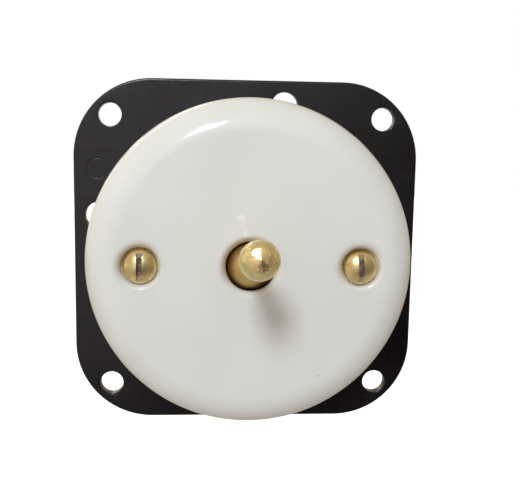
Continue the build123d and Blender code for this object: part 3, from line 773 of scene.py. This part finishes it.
plate_bm = bmesh.new()
edge_steps = arc((PLATE_EDGE, plate_front - PLATE_EDGE), PLATE_EDGE, 90, 180, 6)
loops = [outline_loop(plate_bm, inset, height) for inset, height in edge_steps]
loops += [outline_loop(plate_bm, 0, HOLE_EDGE), outline_loop(plate_bm, HOLE_EDGE, 0)]
for upper, lower in zip(loops, loops[1:]):
    bmesh.ops.bridge_loops(plate_bm, edges=upper + lower)


def hole_wall(radius):
    """Outline of a plain hole through the plate with soft rims."""
    return [
        *arc((radius + HOLE_EDGE, plate_front - HOLE_EDGE), HOLE_EDGE, 90, 180, 4),
        *arc((radius + HOLE_EDGE, HOLE_EDGE), HOLE_EDGE, 180, 270, 4),
    ]


for quarter in range(4):
    turn = Matrix.Rotation(radians(90 * quarter), 3, "Y")
    turn_profile(plate_bm, hole_wall(FIXING_HOLE), turn @ Vector((FIXING, 0, FIXING)), WALL_OUT, 56)
    turn_profile(plate_bm, hole_wall(RIM_HOLE), turn @ RIM_PLACE, WALL_OUT, 56)
for x in (-1, 1):
    for z in (-1, 1):
        place = Vector((x * CABLE_PLACE.x, 0, z * CABLE_PLACE.z))
        turn_profile(plate_bm, hole_wall(CABLE_HOLE), place, WALL_OUT, 64)
sunk = [
    (POST_SCREW_HOLE, plate_front),
    (POST_SCREW_HOLE, COUNTERSINK - POST_SCREW_HOLE),
    (COUNTERSINK, 0),
]
for side in (-1, 1):
    turn_profile(plate_bm, sunk, Vector((side * screw_x, 0, 0)), WALL_OUT, 48)
bmesh.ops.remove_doubles(plate_bm, verts=plate_bm.verts, dist=1e-6)
fill_level(plate_bm, plate_front, WALL_OUT)
fill_level(plate_bm, 0, -WALL_OUT)
finish_piece("phenolic_plate", plate_bm, "black_phenolic", "housing", ["base_plate"])

# %% [markdown]
# ## The toggle
# A toggle is turned from bar on a lathe: a ball that sits in the cover's hole,
# a slim neck, a teardrop knob and a shallow cone where the tool left it. One
# outline holds all of that, spun about the lever's own axis. Handling has
# rounded the crease between knob and cone.

# %% Turn the toggle
BALL = 5.45 * MM
NECK = 2.0 * MM
KNOB = 3.65 * MM
KNOB_AT = 29.9 * MM
CONE_SHARE = 0.62
CONE_RISE = 0.6 * MM
CREASE_SHARE = 0.35
CREASE_TURN = 14
FLARE = 12.0 * MM
TAIL = 2.5 * MM
TAIL_END = 5.8 * MM
BORE = 1.6 * MM
BORE_END = 1.55 * MM


def curve(start, start_pull, end_pull, end, parts):
    """Points of a bezier stretch of an outline."""
    points = []
    for i in range(parts + 1):
        t = i / parts
        weights = ((1 - t) ** 3, 3 * t * (1 - t) ** 2, 3 * t * t * (1 - t), t**3)
        corners = (start, start_pull, end_pull, end)
        points.append(tuple(sum(w * c[axis] for w, c in zip(weights, corners)) for axis in (0, 1)))
    return points


neck_angle = degrees(asin(sqrt(1 - (NECK / BALL) ** 2)))
tail_angle = -degrees(asin(sqrt(1 - (TAIL / BALL) ** 2)))
flare_at = KNOB_AT - FLARE
cone_turn = degrees(acos(CONE_SHARE))
cone_rim = KNOB_AT + KNOB * sin(radians(cone_turn))
cone_edge = (KNOB * CONE_SHARE, cone_rim)
crown = arc((0, KNOB_AT), KNOB, 0, cone_turn - CREASE_TURN, 14)


def cone_point(t):
    """A point on the cone's outline, from its edge at 0 to its tip at 1."""
    return (KNOB * CONE_SHARE * (1 - t), cone_rim + CONE_RISE * t)


toggle_outline = [
    (0, -BORE_END),
    (BORE, -BORE_END),
    (BORE, -TAIL_END),
    (TAIL, -TAIL_END),
    *arc((0, 0), BALL, tail_angle, neck_angle, 40),
    *curve(
        (NECK * 0.9, flare_at), (NECK * 0.9, flare_at + FLARE * 0.5),
        (KNOB, KNOB_AT - FLARE * 0.35), (KNOB, KNOB_AT), 24,
    ),
    *crown[1:],
    *curve(crown[-1], cone_edge, cone_edge, cone_point(CREASE_SHARE), 12)[1:],
    *(cone_point(t) for t in (0.55, 0.75, 0.9, 0.97, 1)),
]
toggle_bm = bmesh.new()
turn_profile(toggle_bm, toggle_outline, pivot, lever_out, 128)
finish_piece("brass_toggle", toggle_bm, "aged_brass", "toggle_lever", ["toggle"])

# %% [markdown]
# ## The cover screws
# A raised-head screw has a domed head and a slot cut by a thin saw. The head
# is spun, the slot is cut with a Boolean modifier, and a Bevel modifier
# softens only the sharp edges that the saw left.

# %% Turn and slot the screws
SHANK = 2.0 * MM
SHANK_LENGTH = 9.5 * MM
seat = face_height - DIMPLE_DEPTH
head_dome = HEAD_TOP - seat
head_outline = [
    (0, seat - SHANK_LENGTH),
    (SHANK, seat - SHANK_LENGTH),
    (SHANK, seat),
    *((screw_radius * cos(t), seat + head_dome * sin(t)) for t in (pi / 2 * i / 32 for i in range(33))),
]
for side, name, lean in ((-1, "left", 0.0), (1, "right", -3.5)):
    centre = Vector((side * screw_x, 0, 0))
    head_bm = bmesh.new()
    turn_profile(head_bm, head_outline, centre, WALL_OUT, 96)
    head = finish_piece(
        f"brass_screw_{name}", head_bm, "aged_brass", "housing", [f"cover_screw_{name}"], modifiers=False
    )
    head.data.materials[0] = finishes["slotted_brass"]
    saw_bm = bmesh.new()
    saw_place = (
        Matrix.Translation(centre + WALL_OUT * HEAD_TOP)
        @ Matrix.Rotation(radians(lean), 4, "Y")
        @ Matrix.Diagonal((SLOT_WIDTH, 2 * SLOT_DEPTH, 4 * screw_radius, 1))
    )
    bmesh.ops.create_cube(saw_bm, size=1, matrix=saw_place)
    saw_mesh = bpy.data.meshes.new("saw")
    saw_bm.to_mesh(saw_mesh)
    saw_bm.free()
    saw_mesh.materials.append(finishes["slotted_brass"])
    saw = bpy.data.objects.new("saw", saw_mesh)
    scene.collection.objects.link(saw)
    slot_cut = head.modifiers.new("slot", "BOOLEAN")
    slot_cut.operation = "DIFFERENCE"
    slot_cut.object = saw
    soft = head.modifiers.new("soft edges", "BEVEL")
    soft.width = 0.07 * MM
    soft.segments = 2
    soft.limit_method = "ANGLE"
    soft.angle_limit = radians(40)
    depsgraph = bpy.context.evaluated_depsgraph_get()
    cut_mesh = bpy.data.meshes.new_from_object(head.evaluated_get(depsgraph))
    head.modifiers.clear()
    head.data = cut_mesh
    cut_mesh.set_sharp_from_angle(angle=SHARP_ANGLE)
    bpy.data.objects.remove(saw)
    weighted = head.modifiers.new("face normals", "WEIGHTED_NORMAL")
    weighted.keep_sharp = True

# %% [markdown]
# ## The plunger's spring
# The spring stands on the toggle at one end and on the plunger at the other,
# so it shortens when the plunger is pushed in. Its coil keeps the part's own
# shape: the part's mesh is copied into place and the part is hidden.

# %% Copy the spring's coil
spring_part = frame["nodes"]["plunger_spring"]
coil_mesh = spring_part.data.copy()
coil_mesh.name = "steel_coil"
coil_mesh.transform(spring_part.matrix_world)
coil = bpy.data.objects.new("steel_coil", coil_mesh)
scene.collection.objects.link(coil)
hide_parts("plunger_spring")
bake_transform(coil)
